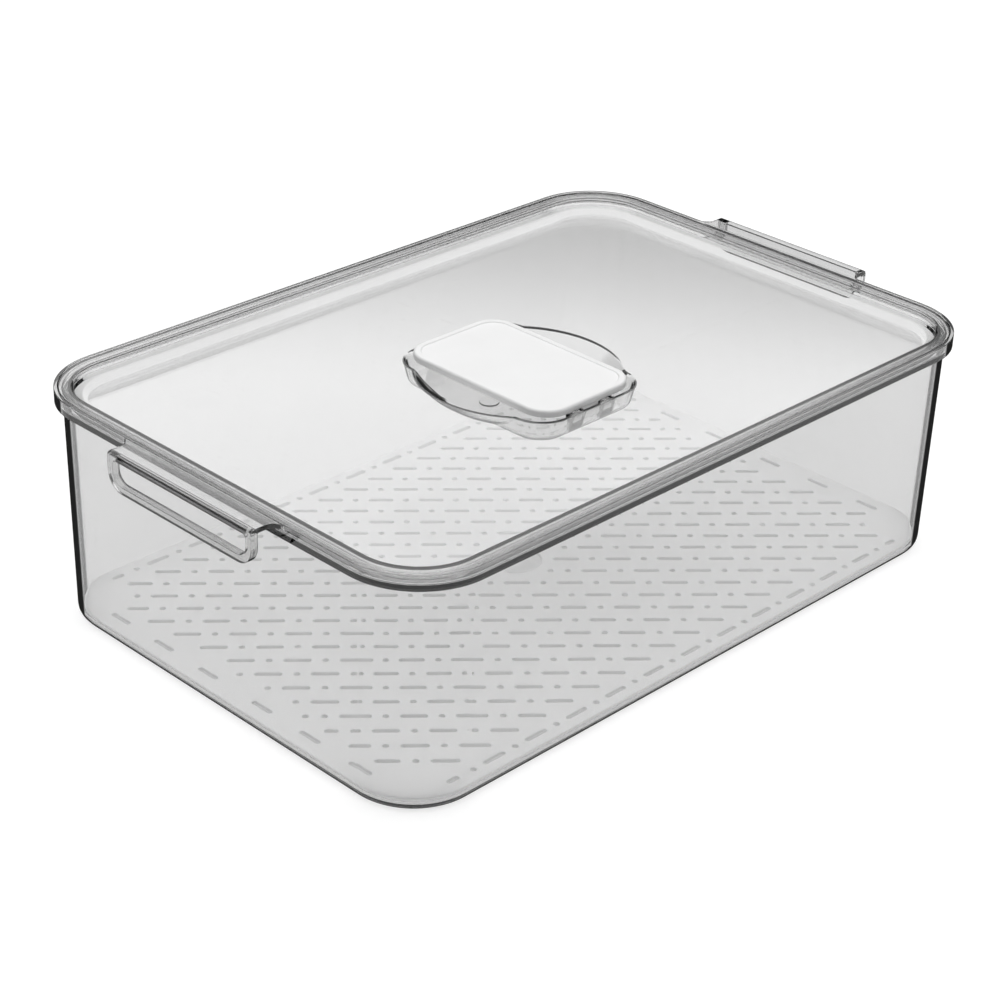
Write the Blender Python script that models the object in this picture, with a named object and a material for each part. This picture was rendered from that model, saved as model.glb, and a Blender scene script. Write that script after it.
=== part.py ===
"""Lidded fridge bin: a clear tub, a clear nesting lid with a grip plate, and a drain tray.

Metres, +Z up. The origin is at the centre of the tub's base, X runs along the long side.
"""
import math

import bmesh
import bpy
from mathutils import Vector
from mathutils.geometry import delaunay_2d_cdt

MM = 0.001
CLEAR = 0.3 * MM
EDGE = 0.5 * MM

# Rim of the tub, over the straight sides
RIM_LENGTH = 375.0 * MM
RIM_WIDTH = 257.0 * MM
HEIGHT = 115.7 * MM
RIM_RADIUS = 37.5 * MM
RIM_WALL = 1.8 * MM
RIM_DROP = 7.0 * MM
LEDGE_DEPTH = 4.8 * MM
LEDGE_WIDTH = 2.2 * MM
LEAD_IN = 3.4 * MM

# Walls and floor of the tub
WALL = 2.2 * MM
FLOOR = 2.4 * MM
OVERHANG = 3.8 * MM
BASE_LENGTH = 366.1 * MM
BASE_WIDTH = 245.8 * MM
BASE_RADIUS = 32.4 * MM
BASE_FILLET = 5.0 * MM
FLOOR_FILLET = 3.5 * MM

# End handles: a shelf that turns down into a lip with a window in it
HANDLE_REACH = 13.0 * MM
HANDLE_HALF = 47.2 * MM
HANDLE_DROP = 18.0 * MM
HANDLE_FLARE = 6.0 * MM
HANDLE_CORNER = 9.0 * MM
SHELF = 2.3 * MM
LIP = 3.8 * MM
LIP_FRAME = 3.7 * MM
WINDOW_CORNER = 5.5 * MM

# Lid
LID_WALL = 1.8 * MM
LID_INSET = RIM_WALL + CLEAR
LID_TOP = 2.0 * MM
LID_RIM_INNER = 8.0 * MM
PANEL_DEPTH = 9.0 * MM
PANEL_FILLET = 7.0 * MM

# Grip well in the middle of the lid, long along Y
WELL_DEPTH = 10.7 * MM
MOUTH_HALF_X = 35.2 * MM
MOUTH_HALF_Y = 48.9 * MM
MOUTH_RADIUS = 15.0 * MM
MOUTH_CIRCLE = 48.9 * MM
BASE_HALF_X = 32.5 * MM
BASE_HALF_Y = 45.5 * MM
BASE_CORNER = 12.0 * MM
BASE_CIRCLE = 36.0 * MM
GATE_OFFSET = 19.0 * MM
GATE_RADIUS = 4.7 * MM
GATE_HEIGHT = 0.6 * MM

# Grip plate and the snap that holds it
PLATE_HALF_X = 30.5 * MM
PLATE_HALF_Y = 47.0 * MM
PLATE_RADIUS = 13.0 * MM
PLATE_THICK = 3.7 * MM
PLATE_TOP = HEIGHT - 5.6 * MM
PLATE_BORDER = 3.4 * MM
PLATE_EDGE = 0.8 * MM
PLATE_DISH = 0.5 * MM
LEG_HALF_X = 5.5 * MM
LEG_THICK = 1.8 * MM
LEG_FACE_Y = 45.4 * MM
LEG_DROP = 8.0 * MM
GUIDE_GAP = 0.7 * MM
GUIDE_WIDTH = 7.2 * MM
GUIDE_FACE_Y = 42.8 * MM

# Drain tray
TRAY_HALF_X = 180.0 * MM
TRAY_HALF_Y = 119.6 * MM
TRAY_RADIUS = 29.2 * MM
TRAY_TOP = 6.0 * MM
TRAY_THICK = 1.7 * MM
SKIRT_INSET = 2.6 * MM
SKIRT_WALL = 1.6 * MM
FINGER_HOLE = 13.5 * MM
SLOT_LENGTH = 12.5 * MM
END_SLOT_LENGTH = 6.5 * MM
SLOT_WIDTH = 2.6 * MM
SLOT_PITCH = 25.2 * MM
ROW_PITCH = 11.35 * MM
SLOT_ANGLE = math.radians(-42.0)
LONG_SIDE_LINE = 113.0 * MM
SHORT_SIDE_LINE = 171.8 * MM
LONG_SIDE_SLOTS = 11
LONG_SIDE_END = 149.6 * MM
SHORT_SIDE_SLOTS = 6
SHORT_SIDE_FIRST = 18.5 * MM
SHORT_SIDE_PITCH = 31.5 * MM
FIELD_MARGIN = 11.0 * MM
HOLE_MARGIN = 6.5 * MM

CORNER_STEPS = 6
SIDE_STEPS_X = 8
SIDE_STEPS_Y = 6
FILLET_STEPS = 3
CIRCLE_STEPS = 24

CLEAR_PLASTIC = ((0.93, 0.94, 0.94, 1.0), 0.05, 0.0)
WHITE_PLASTIC = ((0.90, 0.90, 0.90, 1.0), 0.35, 0.0)
TRAY_PLASTIC = ((0.80, 0.81, 0.82, 1.0), 0.45, 0.0)


def clear_scene():
    for obj in list(bpy.data.objects):
        bpy.data.objects.remove(obj, do_unlink=True)


def make_material(name, look, alpha=1.0):
    colour, roughness, metallic = look
    material = bpy.data.materials.new(name)
    material.use_nodes = True
    shader = material.node_tree.nodes["Principled BSDF"]
    shader.inputs["Base Color"].default_value = colour
    shader.inputs["Roughness"].default_value = roughness
    shader.inputs["Metallic"].default_value = metallic
    shader.inputs["Alpha"].default_value = alpha
    return material


def add_object(name, bm, material=None):
    mesh = bpy.data.meshes.new(name)
    bmesh.ops.recalc_face_normals(bm, faces=bm.faces)
    bm.to_mesh(mesh)
    bm.free()
    mesh.shade_smooth()
    mesh.set_sharp_from_angle(angle=math.radians(35.0))
    obj = bpy.data.objects.new(name, mesh)
    bpy.context.scene.collection.objects.link(obj)
    if material is not None:
        mesh.materials.append(material)
    return obj


def merge_tool(target, name, bm):
    """Join a shape to the target with a hidden tool object."""
    tool = add_object(name, bm)
    tool.hide_render = True
    tool.display_type = "WIRE"
    modifier = target.modifiers.new(name, "BOOLEAN")
    modifier.operation = "UNION"
    modifier.solver = "EXACT"
    modifier.object = tool


def rounded_rectangle(half_x, half_y, radius, steps=CORNER_STEPS, split_x=1, split_y=1):
    """Outline points, anticlockwise from where the +X side meets the arc of the +X +Y corner."""
    points = []
    corners = (
        (half_x - radius, half_y - radius, 0.0, split_x),
        (radius - half_x, half_y - radius, 0.5 * math.pi, split_y),
        (radius - half_x, radius - half_y, math.pi, split_x),
        (half_x - radius, radius - half_y, 1.5 * math.pi, split_y),
    )
    for index, (centre_x, centre_y, start, split) in enumerate(corners):
        for step in range(steps + 1):
            angle = start + 0.5 * math.pi * step / steps
            points.append((centre_x + radius * math.cos(angle), centre_y + radius * math.sin(angle)))
        next_x, next_y, next_start, _ = corners[(index + 1) % 4]
        goal = (next_x + radius * math.cos(next_start), next_y + radius * math.sin(next_start))
        begin = points[-1]
        for step in range(1, split):
            share = step / split
            points.append((begin[0] + share * (goal[0] - begin[0]), begin[1] + share * (goal[1] - begin[1])))
    return points


def inset_rim(inset, z):
    """Ring that runs parallel to the rim's outer face, some way inboard of it."""
    outline = rounded_rectangle(
        0.5 * RIM_LENGTH - inset,
        0.5 * RIM_WIDTH - inset,
        RIM_RADIUS - inset,
        CORNER_STEPS,
        SIDE_STEPS_X,
        SIDE_STEPS_Y,
    )
    return [(x, y, z) for x, y in outline]


def wall_ring(z, inset):
    """Ring on the tub's tapered outer wall at a height, moved inboard by an inset."""
    share = z / (HEIGHT - RIM_DROP)
    half_x = 0.5 * BASE_LENGTH + share * (0.5 * (RIM_LENGTH - BASE_LENGTH) - OVERHANG)
    half_y = 0.5 * BASE_WIDTH + share * (0.5 * (RIM_WIDTH - BASE_WIDTH) - OVERHANG)
    radius = BASE_RADIUS + share * (RIM_RADIUS - OVERHANG - BASE_RADIUS)
    outline = rounded_rectangle(
        half_x - inset, half_y - inset, radius - inset, CORNER_STEPS, SIDE_STEPS_X, SIDE_STEPS_Y
    )
    return [(x, y, z) for x, y in outline]


def loft(rings, start_point, end_point):
    """Closed body through rings of equal length, with a fan to a point at each end."""
    bm = bmesh.new()
    loops = [[bm.verts.new(point) for point in ring] for ring in rings]
    count = len(loops[0])
    for lower, upper in zip(loops, loops[1:]):
        for index in range(count):
            after = (index + 1) % count
            bm.faces.new((lower[index], lower[after], upper[after], upper[index]))
    for loop, point in ((loops[0], start_point), (loops[-1], end_point)):
        tip = bm.verts.new(point)
        for index in range(count):
            bm.faces.new((loop[index], loop[(index + 1) % count], tip))
    return bm


def inside(point, outline):
    """Even-odd test of a point against an outline."""
    x, y = point
    hit = False
    for (x1, y1), (x2, y2) in zip(outline, outline[1:] + outline[:1]):
        if (y1 > y) != (y2 > y) and x < x1 + (y - y1) * (x2 - x1) / (y2 - y1):
            hit = not hit
    return hit


def slab(outlines, low, high):
    """Plate between two heights: the first outline is its edge, the others are holes."""
    points = [Vector(point) for outline in outlines for point in outline]
    edges = []
    start = 0
    for outline in outlines:
        count = len(outline)
        edges += [(start + index, start + (index + 1) % count) for index in range(count)]
        start += count
    verts, _, faces, *_ = delaunay_2d_cdt(points, edges, [], 0, 1e-7)
    bm = bmesh.new()
    bottom = [bm.verts.new((vert.x, vert.y, low)) for vert in verts]
    top = [bm.verts.new((vert.x, vert.y, high)) for vert in verts]
    for face in faces:
        centre = sum((verts[index] for index in face), Vector((0.0, 0.0))) / len(face)
        crossings = sum(inside(centre, outline) for outline in outlines)
        if crossings == 1:
            bm.faces.new([top[index] for index in face])
            bm.faces.new([bottom[index] for index in reversed(face)])
    start = 0
    for outline in outlines:
        count = len(outline)
        for index in range(count):
            here = start + index
            after = start + (index + 1) % count
            bm.faces.new((bottom[here], bottom[after], top[after], top[here]))
        start += count
    return bm


def quarter_turn():
    """Angles of a fillet's steps, from 0 to 90 degrees."""
    return [0.5 * math.pi * step / FILLET_STEPS for step in range(FILLET_STEPS + 1)]


def circle(centre, radius):
    points = []
    for step in range(CIRCLE_STEPS):
        angle = 2.0 * math.pi * step / CIRCLE_STEPS
        points.append((centre[0] + radius * math.cos(angle), centre[1] + radius * math.sin(angle)))
    return points


def arc(centre, radius, begin, end, steps=CORNER_STEPS):
    """Points on an arc, with its angles in degrees."""
    points = []
    for step in range(steps + 1):
        angle = math.radians(begin + (end - begin) * step / steps)
        points.append((centre[0] + radius * math.cos(angle), centre[1] + radius * math.sin(angle)))
    return points


def handle_shelf(side):
    """Flat shelf that flares out of the rim, on the +X end for side 1 or the -X end for side -1."""
    rim = 0.5 * RIM_LENGTH
    root = rim - 0.5 * RIM_WALL
    tip = rim + HANDLE_REACH - 0.5 * LIP
    half = HANDLE_HALF - CLEAR
    flare = arc((rim + HANDLE_FLARE, half + HANDLE_FLARE), HANDLE_FLARE, 180.0, 270.0)
    upper = [(root, half + HANDLE_FLARE)] + flare + [(tip, half)]
    outline = upper + [(x, -y) for x, y in reversed(upper)]
    outline = [(side * x, y) for x, y in outline]
    top = HEIGHT - 2.0 * CLEAR
    return slab([outline], top - SHELF, top)


def handle_lip(side):
    """Turned-down lip with a window, drawn in Y and Z and stood up at the handle's end."""
    top = HEIGHT - CLEAR
    bottom = HEIGHT - HANDLE_DROP
    corner = (HANDLE_HALF - HANDLE_CORNER, bottom + HANDLE_CORNER)
    right = arc(corner, HANDLE_CORNER, -90.0, 0.0) + [(HANDLE_HALF, top)]
    outline = right + [(-y, z) for y, z in reversed(right)]
    window_half = HANDLE_HALF - LIP_FRAME
    window_low = bottom + LIP_FRAME
    window_high = HEIGHT - 2.0 * CLEAR - SHELF
    corner = (window_half - WINDOW_CORNER, window_low + WINDOW_CORNER)
    right = arc(corner, WINDOW_CORNER, -90.0, 0.0) + [(window_half, window_high)]
    window = right + [(-y, z) for y, z in reversed(right)]
    outer_face = 0.5 * RIM_LENGTH + HANDLE_REACH
    bm = slab([outline, window], outer_face - LIP, outer_face)
    for vert in bm.verts:
        along, up, out = vert.co
        vert.co = (side * out, along, up)
    return bm


def build_bin_body(material):
    """Tub: one wall from the base up and over the rim and down to the floor, plus the handles."""
    rim_bottom = HEIGHT - RIM_DROP
    ledge_top = HEIGHT - LEDGE_DEPTH
    rings = []
    for angle in quarter_turn():
        z = BASE_FILLET * (1.0 - math.cos(angle))
        ring = wall_ring(0.0, BASE_FILLET * (1.0 - math.sin(angle)))
        rings.append([(x, y, z) for x, y, _ in ring])
    rings.append(wall_ring(rim_bottom - EDGE, 0.0))
    rings.append(inset_rim(OVERHANG - EDGE, rim_bottom))
    rings.append(inset_rim(EDGE, rim_bottom))
    rings.append(inset_rim(0.0, rim_bottom + EDGE))
    rings.append(inset_rim(0.0, HEIGHT - EDGE))
    rings.append(inset_rim(EDGE, HEIGHT))
    rings.append(inset_rim(RIM_WALL - EDGE, HEIGHT))
    rings.append(inset_rim(RIM_WALL, HEIGHT - EDGE))
    rings.append(inset_rim(RIM_WALL, ledge_top))
    rings.append(inset_rim(RIM_WALL + LEDGE_WIDTH, ledge_top))
    rings.append(wall_ring(ledge_top - LEAD_IN, WALL))
    for angle in reversed(quarter_turn()):
        z = FLOOR + FLOOR_FILLET * (1.0 - math.cos(angle))
        ring = wall_ring(FLOOR + FLOOR_FILLET, WALL + FLOOR_FILLET * (1.0 - math.sin(angle)))
        rings.append([(x, y, z) for x, y, _ in ring])
    bm = loft(rings, (0.0, 0.0, 0.0), (0.0, 0.0, FLOOR))
    body = add_object("bin_body", bm, material)
    for side, end in ((1, "right"), (-1, "left")):
        merge_tool(body, "handle_shelf_" + end, handle_shelf(side))
        merge_tool(body, "handle_lip_" + end, handle_lip(side))


def reach(outline, direction):
    """Distance from the middle to an outline that surrounds it, along a unit direction."""
    best = 0.0
    for (x1, y1), (x2, y2) in zip(outline, outline[1:] + outline[:1]):
        edge_x, edge_y = x2 - x1, y2 - y1
        cross = direction[0] * edge_y - direction[1] * edge_x
        if abs(cross) < 1e-12:
            continue
        distance = (x1 * edge_y - y1 * edge_x) / cross
        share = (x1 * direction[1] - y1 * direction[0]) / cross
        if distance > 0.0 and -1e-9 <= share <= 1.0 + 1e-9:
            best = max(best, distance)
    return best


def well_ring(directions, half_x, half_y, radius, circle, z):
    """Ring of the grip well: a rounded bar joined with a circle."""
    bar = rounded_rectangle(half_x, half_y, radius)
    ring = []
    for direction in directions:
        distance = max(circle, reach(bar, direction))
        ring.append((distance * direction[0], distance * direction[1], z))
    return ring


def even_directions(count):
    """Unit directions at even angles, which start where the rim's outline starts."""
    first_x, first_y, _ = inset_rim(0.0, 0.0)[0]
    start = math.atan2(first_y, first_x)
    directions = []
    for index in range(count):
        angle = start + 2.0 * math.pi * index / count
        directions.append((math.cos(angle), math.sin(angle)))
    return directions


def lid_rings():
    """Rings of the lid, from the well's floor out to the rim and back along the underside."""
    panel = HEIGHT - PANEL_DEPTH
    well_floor = panel - WELL_DEPTH
    panel_inset = LID_RIM_INNER + EDGE + PANEL_FILLET
    fillet_top = panel + PANEL_FILLET
    directions = even_directions(len(inset_rim(panel_inset, panel)))
    under = LID_WALL
    rings = [
        well_ring(directions, BASE_HALF_X, BASE_HALF_Y, BASE_CORNER, BASE_CIRCLE, well_floor),
        well_ring(directions, MOUTH_HALF_X, MOUTH_HALF_Y, MOUTH_RADIUS, MOUTH_CIRCLE, panel),
    ]
    for angle in quarter_turn():
        inset = panel_inset - PANEL_FILLET * math.sin(angle)
        rings.append(inset_rim(inset, fillet_top - PANEL_FILLET * math.cos(angle)))
    rings.append(inset_rim(LID_RIM_INNER, HEIGHT))
    rings.append(inset_rim(LID_INSET + EDGE, HEIGHT))
    rings.append(inset_rim(LID_INSET, HEIGHT - EDGE))
    leg_bottom = HEIGHT - LEDGE_DEPTH + CLEAR
    rings.append(inset_rim(LID_INSET, leg_bottom))
    rings.append(inset_rim(LID_INSET + LID_WALL, leg_bottom))
    rings.append(inset_rim(LID_INSET + LID_WALL, HEIGHT - LID_TOP))
    radius = PANEL_FILLET + LID_WALL
    for angle in reversed(quarter_turn()):
        rings.append(inset_rim(panel_inset - radius * math.sin(angle), fillet_top - radius * math.cos(angle)))
    rings.append(
        well_ring(
            directions,
            MOUTH_HALF_X + under,
            MOUTH_HALF_Y + under,
            MOUTH_RADIUS + under,
            MOUTH_CIRCLE + 0.5 * under,
            panel - under,
        )
    )
    rings.append(
        well_ring(
            directions,
            BASE_HALF_X + 0.5 * under,
            BASE_HALF_Y + 0.5 * under,
            BASE_CORNER + 0.5 * under,
            BASE_CIRCLE + 0.2 * under,
            well_floor - under,
        )
    )
    return rings


def snap_guide(start_x, side):
    """Upright block on the well's end wall, which holds the grip plate up."""
    floor = HEIGHT - PANEL_DEPTH - WELL_DEPTH
    top = PLATE_TOP - PLATE_THICK - CLEAR
    low_back = BASE_HALF_Y + 0.5 * LID_WALL
    rise = (MOUTH_HALF_Y - BASE_HALF_Y) / WELL_DEPTH
    low = floor - 0.5 * LID_WALL
    high_back = low_back + rise * (top - low)
    profile = [(GUIDE_FACE_Y, low), (low_back, low), (high_back, top), (GUIDE_FACE_Y, top)]
    bm = slab([profile], start_x, start_x + GUIDE_WIDTH)
    for vert in bm.verts:
        along, up, across = vert.co
        vert.co = (across, side * along, up)
    return bm


def build_lid(material):
    rings = lid_rings()
    well_floor = HEIGHT - PANEL_DEPTH - WELL_DEPTH
    bm = loft(rings, (0.0, 0.0, well_floor), (0.0, 0.0, well_floor - LID_WALL))
    lid = add_object("lid", bm, material)
    for side in (1, -1):
        for start in (LEG_HALF_X + GUIDE_GAP, -LEG_HALF_X - GUIDE_GAP - GUIDE_WIDTH):
            name = "snap_guide_{}_{}".format("back" if side > 0 else "front", "a" if start > 0.0 else "b")
            merge_tool(lid, name, snap_guide(start, side))
    pad = circle((-GATE_OFFSET, 0.0), GATE_RADIUS)
    bm = slab([pad], well_floor - 0.5 * LID_WALL, well_floor + GATE_HEIGHT)
    merge_tool(lid, "gate_pad", bm)


def plate_ring(inset, z):
    outline = rounded_rectangle(PLATE_HALF_X - inset, PLATE_HALF_Y - inset, PLATE_RADIUS - inset)
    return [(x, y, z) for x, y in outline]


def build_grip_plate(material):
    """Plate with a shallow dish inside its rounded border, and a snap leg under each end."""
    under = PLATE_TOP - PLATE_THICK
    dish = PLATE_TOP - PLATE_DISH
    rings = [
        plate_ring(PLATE_EDGE, under),
        plate_ring(0.0, under + PLATE_EDGE),
        plate_ring(0.0, PLATE_TOP - 2.0 * PLATE_EDGE),
        plate_ring(0.5 * PLATE_EDGE, PLATE_TOP - 0.5 * PLATE_EDGE),
        plate_ring(2.0 * PLATE_EDGE, PLATE_TOP),
        plate_ring(PLATE_BORDER, PLATE_TOP),
        plate_ring(PLATE_BORDER + PLATE_DISH, dish),
    ]
    plate = add_object("grip_plate", loft(rings, (0.0, 0.0, under), (0.0, 0.0, dish)), material)
    for side, end in ((1, "back"), (-1, "front")):
        leg = [
            (LEG_FACE_Y - LEG_THICK, under - LEG_DROP),
            (LEG_FACE_Y - 0.4 * LEG_THICK, under - LEG_DROP),
            (LEG_FACE_Y, under - LEG_DROP + 0.8 * LEG_THICK),
            (LEG_FACE_Y, under + PLATE_EDGE),
            (LEG_FACE_Y - LEG_THICK, under + PLATE_EDGE),
        ]
        bm = slab([leg], -LEG_HALF_X, LEG_HALF_X)
        for vert in bm.verts:
            along, up, across = vert.co
            vert.co = (across, side * along, up)
        merge_tool(plate, "snap_leg_" + end, bm)


def slot_outline(centre_x, centre_y, length, angle):
    cosine, sine = math.cos(angle), math.sin(angle)
    corners = []
    for along, across in ((1, 1), (-1, 1), (-1, -1), (1, -1)):
        u = 0.5 * along * length
        v = 0.5 * across * SLOT_WIDTH
        corners.append((centre_x + u * cosine - v * sine, centre_y + u * sine + v * cosine))
    return corners


def field_slots():
    """Slanting rows of slots, kept inside the tray's border and off its finger hole."""
    border = rounded_rectangle(
        TRAY_HALF_X - FIELD_MARGIN, TRAY_HALF_Y - FIELD_MARGIN, TRAY_RADIUS - FIELD_MARGIN
    )
    cosine, sine = math.cos(SLOT_ANGLE), math.sin(SLOT_ANGLE)
    diagonal = math.hypot(TRAY_HALF_X, TRAY_HALF_Y)
    rows = int(diagonal / ROW_PITCH) + 1
    columns = int(diagonal / SLOT_PITCH) + 1
    slots = []
    for row in range(-rows, rows + 1):
        for column in range(-columns, columns + 1):
            along = (column + 0.5 * (row % 2)) * SLOT_PITCH
            across = row * ROW_PITCH
            x = along * cosine - across * sine
            y = along * sine + across * cosine
            outline = slot_outline(x, y, SLOT_LENGTH, SLOT_ANGLE)
            clear_of_hole = math.hypot(x, y) > FINGER_HOLE + HOLE_MARGIN
            if clear_of_hole and all(inside(corner, border) for corner in outline):
                slots.append(outline)
    return slots


def border_slots():
    """Slots that follow the tray's four sides."""
    slots = []
    for side in (1, -1):
        y = side * LONG_SIDE_LINE
        for step in range(LONG_SIDE_SLOTS):
            x = (step - 0.5 * (LONG_SIDE_SLOTS - 1)) * SLOT_PITCH
            slots.append(slot_outline(x, y, SLOT_LENGTH, 0.0))
        for end in (1, -1):
            slots.append(slot_outline(end * LONG_SIDE_END, y, END_SLOT_LENGTH, 0.0))
    for side in (1, -1):
        x = side * SHORT_SIDE_LINE
        for step in range(SHORT_SIDE_SLOTS // 2):
            y = SHORT_SIDE_FIRST + step * SHORT_SIDE_PITCH
            for end in (1, -1):
                slots.append(slot_outline(x, end * y, SLOT_LENGTH, 0.5 * math.pi))
    return slots


def build_drain_tray(material):
    edge = rounded_rectangle(TRAY_HALF_X, TRAY_HALF_Y, TRAY_RADIUS)
    hole = circle((0.0, 0.0), FINGER_HOLE)
    bm = slab([edge, hole] + field_slots() + border_slots(), TRAY_TOP - TRAY_THICK, TRAY_TOP)
    tray = add_object("drain_tray", bm, material)
    outlines = []
    for inset in (SKIRT_INSET, SKIRT_INSET + SKIRT_WALL):
        outlines.append(rounded_rectangle(TRAY_HALF_X - inset, TRAY_HALF_Y - inset, TRAY_RADIUS - inset))
    skirt = slab(outlines, FLOOR + CLEAR, TRAY_TOP - 0.5 * TRAY_THICK)
    merge_tool(tray, "tray_skirt", skirt)


def main():
    clear_scene()
    clear = make_material("clear_plastic", CLEAR_PLASTIC, 0.25)
    white = make_material("white_plastic", WHITE_PLASTIC)
    grey = make_material("tray_plastic", TRAY_PLASTIC)
    build_bin_body(clear)
    build_lid(clear)
    build_grip_plate(white)
    build_drain_tray(grey)


main()
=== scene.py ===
"""Looks of the lidded fridge bin.

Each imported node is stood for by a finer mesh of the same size, with rounded edges and a node
material. Metres, +Z up, X along the long side, origin under the middle of the bin.
"""
import math

import bmesh
import bpy
import numpy as np
from mathutils import Matrix, Vector
from mathutils.geometry import delaunay_2d_cdt


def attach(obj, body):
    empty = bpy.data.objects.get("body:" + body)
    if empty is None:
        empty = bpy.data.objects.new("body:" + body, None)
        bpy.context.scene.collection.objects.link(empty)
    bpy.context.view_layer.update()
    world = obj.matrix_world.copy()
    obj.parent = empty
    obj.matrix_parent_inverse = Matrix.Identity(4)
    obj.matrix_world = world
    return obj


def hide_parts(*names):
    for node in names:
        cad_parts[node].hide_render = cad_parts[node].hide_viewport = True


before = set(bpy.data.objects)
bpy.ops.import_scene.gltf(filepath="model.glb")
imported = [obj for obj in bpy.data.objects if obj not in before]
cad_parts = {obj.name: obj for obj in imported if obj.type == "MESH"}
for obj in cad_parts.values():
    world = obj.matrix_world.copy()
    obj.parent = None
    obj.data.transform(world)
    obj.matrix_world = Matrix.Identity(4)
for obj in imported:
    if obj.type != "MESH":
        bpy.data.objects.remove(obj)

MM = 0.001
CLEAR = 0.3 * MM

# Rim of the bin, over the straight sides
RIM_HALF_X = 187.5 * MM
RIM_HALF_Y = 128.5 * MM
RIM_RADIUS = 37.5 * MM
HEIGHT = 115.7 * MM
RIM_WALL = 1.8 * MM
RIM_BOTTOM = HEIGHT - 7.0 * MM
LEDGE_TOP = HEIGHT - 4.8 * MM
LEDGE_WIDTH = 2.2 * MM
LEAD_IN = 3.4 * MM

# Walls and floor of the bin
WALL = 2.2 * MM
FLOOR = 2.4 * MM
OVERHANG = 3.8 * MM
BASE_FILLET = 5.0 * MM
FLOOR_FILLET = 3.5 * MM
BASE_HALF_X = 183.05 * MM
BASE_HALF_Y = 122.9 * MM
BASE_RADIUS = 32.4 * MM

# End handles
HANDLE_REACH = 13.0 * MM
HANDLE_HALF = 47.2 * MM
HANDLE_BOTTOM = HEIGHT - 18.0 * MM
HANDLE_TOP = HEIGHT - 0.25 * MM
HANDLE_FLARE = 6.0 * MM
HANDLE_CORNER = 9.0 * MM
HANDLE_BEND = 2.0 * MM
HANDLE_EDGE = 0.35 * MM
HANDLE_ROOT = 0.6 * RIM_WALL
SHELF = 2.3 * MM
LIP = 3.8 * MM
LIP_FRAME = 3.7 * MM
LIP_FILLET = 0.5 * MM
WINDOW_CORNER = 5.5 * MM
WINDOW_TOP_CORNER = 1.5 * MM
WINDOW_GAP = 0.05 * MM

# Lid
LID_WALL = 1.8 * MM
LID_INSET = RIM_WALL + CLEAR
LID_TOP = 2.0 * MM
LID_RIM_INNER = 8.0 * MM
PANEL = HEIGHT - 9.0 * MM
PANEL_FILLET = 7.0 * MM
PANEL_INSET = 15.5 * MM

# Grip well in the lid, long along Y
WELL_DEPTH = 10.7 * MM
MOUTH_HALF = (35.2 * MM, 48.2 * MM)
MOUTH_RADIUS = 15.0 * MM
MOUTH_CIRCLE = 48.9 * MM
MOUTH_EDGE = 1.6 * MM
WELL_HALF = (32.5 * MM, 45.5 * MM)
WELL_RADIUS = 12.0 * MM
WELL_CIRCLE = 36.0 * MM
WELL_FILLET = 2.2 * MM
BOWL_FILLET = 6.0 * MM
BOWL_CURVE = 14.0 * MM
LEAST_FILLET = 0.6 * MM
GATE_CENTRE = (-19.0 * MM, 0.0)
GATE_RADIUS = 4.7 * MM
GATE_HEIGHT = 0.6 * MM
GATE_EDGE = 0.3 * MM

# Grip plate and its snap
PLATE_HALF = (30.5 * MM, 47.0 * MM)
PLATE_RADIUS = 13.0 * MM
PLATE_TOP = HEIGHT - 5.6 * MM
PLATE_UNDER = PLATE_TOP - 3.7 * MM
PLATE_BORDER = 3.4 * MM
PLATE_DISH = 0.5 * MM
LEG_HALF = 5.5 * MM
LEG_THICK = 1.8 * MM
LEG_FACE = 45.4 * MM
LEG_BOTTOM = PLATE_UNDER - 8.0 * MM
LEG_OVERLAP = 0.8 * MM
LEG_EDGE = 0.25 * MM
GUIDE_GAP = 0.7 * MM
GUIDE_WIDTH = 7.2 * MM
GUIDE_FACE = 42.8 * MM
GUIDE_EDGE = 0.35 * MM

# Drain tray
TRAY_HALF = (180.0 * MM, 119.6 * MM)
TRAY_RADIUS = 29.2 * MM
TRAY_TOP = 6.0 * MM
TRAY_UNDER = TRAY_TOP - 1.7 * MM
TRAY_EDGE = 0.5 * MM
SKIRT_INSET = 2.6 * MM
SKIRT_WALL = 1.6 * MM
SKIRT_BOTTOM = FLOOR + CLEAR
FINGER_HOLE = 13.5 * MM
SLOT_LENGTH = 12.5 * MM
SLOT_WIDTH = 2.6 * MM
SLOT_EDGE = 0.25 * MM
SHORTEST_SLOT = 0.6 * SLOT_WIDTH
DOT_WIDTH = 2.9 * MM
SLOT_PITCH = 25.2 * MM
ROW_PITCH = 11.35 * MM
SLOT_ANGLE = math.radians(-42.0)
FIELD_HALF = (163.4 * MM, 104.6 * MM)
FIELD_RADIUS = 18.0 * MM
FIELD_HOLE = 19.5 * MM
LONG_SIDE_LINE = 113.0 * MM
LONG_SIDE_SLOTS = 11
LONG_SIDE_END = 149.6 * MM
END_SLOT_LENGTH = 6.5 * MM
SHORT_SIDE_LINE = 171.8 * MM
SHORT_SIDE_SLOTS = 6
SHORT_SIDE_FIRST = 18.5 * MM
SHORT_SIDE_PITCH = 31.5 * MM

# Steps on curved and straight stretches
CORNER_STEPS = 20
TURN_STEP = math.radians(15.0)
EDGE_STEPS = 3
BEND_STEPS = 8
FLARE_STEPS = 10
LIP_CORNER_STEPS = 14
WINDOW_STEPS = 10
WINDOW_TOP_STEPS = 5
BOWL_STEPS = 16
WELL_CORNER_STEPS = 10
WELL_SIDE_STEPS = 6
WELL_END_STEPS = 4
SLOT_END_STEPS = 7
SLOT_SAMPLES = 41
DOT_POINTS = 16
GATE_POINTS = 60
HOLE_POINTS = 96

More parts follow.
